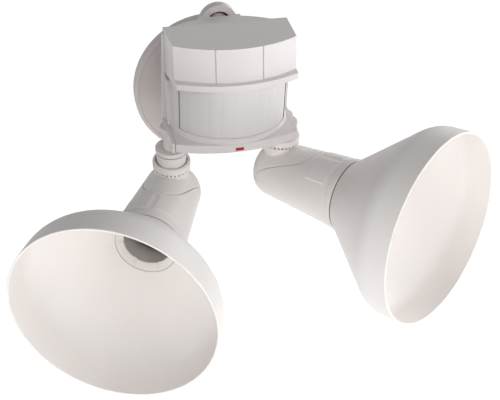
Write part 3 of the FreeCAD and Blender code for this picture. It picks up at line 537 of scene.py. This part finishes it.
def screw_shell(side):
    """Rolled shell: r = bore + wave (1 + cos(2 pi run / pitch - a)), the same one wall further out, and a lip
    that closes in behind it."""
    bore, wave, pitch, wall = 13.2, 0.27, 3.63, 0.55
    back, front, lip_radius, lip_depth = 12.6, 38.2, 7.0, 0.2
    run = np.linspace(back, front, 150)[:, None]
    angle = np.linspace(0.0, 2 * np.pi, 96, endpoint=False)[None, :]
    radius = bore + wave * (1 + np.cos(2 * np.pi * run / pitch - angle))

    def lay(r, at):
        return np.stack((r * np.cos(angle), -at + 0 * angle, r * np.sin(angle)), axis=-1)

    lip = lay(np.full_like(angle, lip_radius), np.full((1, 1), back))
    grid = np.vstack((lay(radius, run), lay(radius + wall, run)[::-1], lip + (0, lip_depth, 0), lip))
    lamp_skin(side, "shell_skin", grid, "brass", "screw_shell")


def stem(side):
    """Threaded stem: r = crest - depth times a rounded sawtooth of height / pitch - a / 2 pi."""
    crest, depth, pitch, top = 6.4, 0.55, 1.6, 4.9
    place = lamp_sides[side]
    height = np.linspace(place["stem_low"], top, 260)[:, None]
    angle = np.linspace(0.0, 2 * np.pi, 64, endpoint=False)[None, :]
    phase = height / pitch - angle / (2 * np.pi)
    tooth = np.abs(2 * (phase - np.floor(phase)) - 1)
    radius = crest - depth * np.clip(tooth * 1.3 - 0.15, 0, 1)
    x, y, _ = place["teeth"]
    grid = np.stack((x + radius * np.cos(angle), y + radius * np.sin(angle), height + 0 * angle),
                    axis=-1) * mm
    skin(side + "_stem_skin", grid, "head", "paint_lamp", (side + "_stem",), "poles")


# ---------------------------------------------------------------- lens

def lens():
    """Milky window, bowed as x = half sin t, y = middle - depth cos t, with upright panels that each bulge a
    little and fine upright ribs on the inner face."""
    middle_y, half_window = -72.4, 40.2
    outer_half, outer_depth, inner_half, inner_depth = 43.4, 34.8, 42.5, 33.9
    panels, bulge_height, rib_depth, rib_rate = 11, 0.22, 0.2, 40
    level = np.array((12.8, 13.1, 30.7, 48.3, 48.6))
    reach = math.asin(half_window / outer_half)
    turn = np.linspace(-reach, reach, 331)
    panel = (turn + reach) / (2 * reach) * panels
    bulge = bulge_height * (1 - (2 * (panel - np.floor(panel)) - 1) ** 2) - bulge_height
    ribs = rib_depth * np.abs(2 * ((turn * rib_rate) % 1) - 1)

    def bow(half, depth, proud):
        return np.stack(((half + proud) * np.sin(turn), middle_y - (depth + proud) * np.cos(turn)),
                        axis=-1)

    loop = np.vstack((bow(outer_half, outer_depth, bulge), bow(inner_half, inner_depth, -ribs)[::-1]))
    size = (len(level), len(loop))
    grid = np.concatenate((np.broadcast_to(loop, (*size, 2)),
                           np.broadcast_to(level[:, None, None], (*size, 1))), axis=-1) * mm
    skin("lens_skin", grid, "head", "lens", ("lens",), "strip")


for side in lamp_sides:
    shade(side)
    neck_ring(side)
    cap(side)
    holder(side)
    boss(side)
    gasket_and_joint_shade(side)
    screw_shell(side)
    stem(side)
lens()


# ---------------------------------------------------------------- stage, light and camera

world_level = 0.20
lamps = (                           # name, bearing round from the front and height in degrees, watts
    ("high_front", 0, 35, 4.2), ("low_left", -30, -25, 8.0), ("left", -60, 5, 3.8),
    ("front_right", 30, 5, 4.6), ("side_right", 60, 0, 5.6), ("low_right", 60, -22, 2.2),
    ("high_right", 45, 35, 2.0), ("right", 100, 5, 6.8), ("back_right", 135, 15, 4.2))


def white_rays(tree):
    """1 for the rays that see the stage as white, those of the camera, gloss and glass, and 0 for others."""
    rays = tree.nodes.new("ShaderNodeLightPath")
    value = rays.outputs["Is Camera Ray"]
    for kind in ("Is Glossy Ray", "Is Transmission Ray"):
        larger = tree.nodes.new("ShaderNodeMath")
        larger.operation = "MAXIMUM"
        tree.links.new(value, larger.inputs[0])
        tree.links.new(rays.outputs[kind], larger.inputs[1])
        value = larger.outputs["Value"]
    return value


def floor():
    """Pale floor far below the light; the camera, gloss and glass see it glow, and it keeps the soft
    shadow."""
    half, drop, strength = 6.0, -0.98, 0.8
    mesh = bpy.data.meshes.new("floor")
    corners = [(-half, -half, 0), (half, -half, 0), (half, half, 0), (-half, half, 0)]
    mesh.from_pydata(corners, [], [(0, 1, 2, 3)])
    plane = bpy.data.objects.new("floor", mesh)
    plane.location = (0, 0, drop)
    bpy.context.scene.collection.objects.link(plane)
    material = bpy.data.materials.new("floor_pale")
    material.use_nodes = True
    tree = material.node_tree
    shader = tree.nodes["Principled BSDF"]
    shader.inputs["Base Color"].default_value = (0.86, 0.86, 0.86, 1)
    shader.inputs["Roughness"].default_value = 0.8
    glow = tree.nodes.new("ShaderNodeEmission")
    glow.inputs["Color"].default_value = (1, 1, 1, 1)
    level = tree.nodes.new("ShaderNodeMath")
    level.operation = "MULTIPLY"
    level.inputs[1].default_value = strength
    add = tree.nodes.new("ShaderNodeAddShader")
    tree.links.new(white_rays(tree), level.inputs[0])
    tree.links.new(level.outputs["Value"], glow.inputs["Strength"])
    tree.links.new(shader.outputs["BSDF"], add.inputs[0])
    tree.links.new(glow.outputs["Emission"], add.inputs[1])
    tree.links.new(add.outputs["Shader"], tree.nodes["Material Output"].inputs["Surface"])
    mesh.materials.append(material)


def world(level):
    """Even pale light all round; the camera, gloss and glass see it as white."""
    made = bpy.data.worlds.new("studio")
    bpy.context.scene.world = made
    made.use_nodes = True
    tree = made.node_tree
    background = tree.nodes["Background"]
    background.inputs["Color"].default_value = (1, 1, 1, 1)
    seen = tree.nodes.new("ShaderNodeMapRange")
    seen.inputs["To Min"].default_value = level
    seen.inputs["To Max"].default_value = 1.0
    tree.links.new(white_rays(tree), seen.inputs["Value"])
    tree.links.new(seen.outputs["Result"], background.inputs["Strength"])


def lamp(name, bearing, height, power):
    """Round soft lamp that faces the middle of the light, at a bearing round from the front and a height."""
    size, distance, middle = 0.7, 1.5, Vector((0, -0.1, 0))
    data = bpy.data.lights.new(name, "AREA")
    data.shape, data.size, data.energy = "DISK", size, power
    around_z, up = math.radians(bearing), math.radians(height)
    way = Vector((math.sin(around_z) * math.cos(up), -math.cos(around_z) * math.cos(up), math.sin(up)))
    made = bpy.data.objects.new(name, data)
    made.location = middle + way * distance
    made.rotation_euler = (-way).to_track_quat("-Z", "Y").to_euler()
    bpy.context.scene.collection.objects.link(made)


def camera():
    """Camera at the photograph's place: right, up and back directions, sensor and focal length in mm."""
    sensor_width, focal_length, place = 36.0, 56.343, (-0.124555, -0.571720, 0.326600)
    right, up = Vector((0.967, -0.252, 0.036)), Vector((0.127, 0.598, 0.791))
    back = right.cross(up).normalized()
    up = back.cross(right).normalized()
    data = bpy.data.cameras.new("camera")
    data.sensor_width, data.lens = sensor_width, focal_length
    data.clip_start, data.clip_end = 0.01, 30.0
    made = bpy.data.objects.new("camera", data)
    made.matrix_world = Matrix((right.normalized(), up, back)).transposed().to_4x4()
    made.location = place
    bpy.context.scene.collection.objects.link(made)
    bpy.context.scene.camera = made


floor()
world(world_level)
for name, bearing, height, power in lamps:
    lamp(name, bearing, height, power)
camera()
bpy.context.scene.view_settings.view_transform = "Standard"
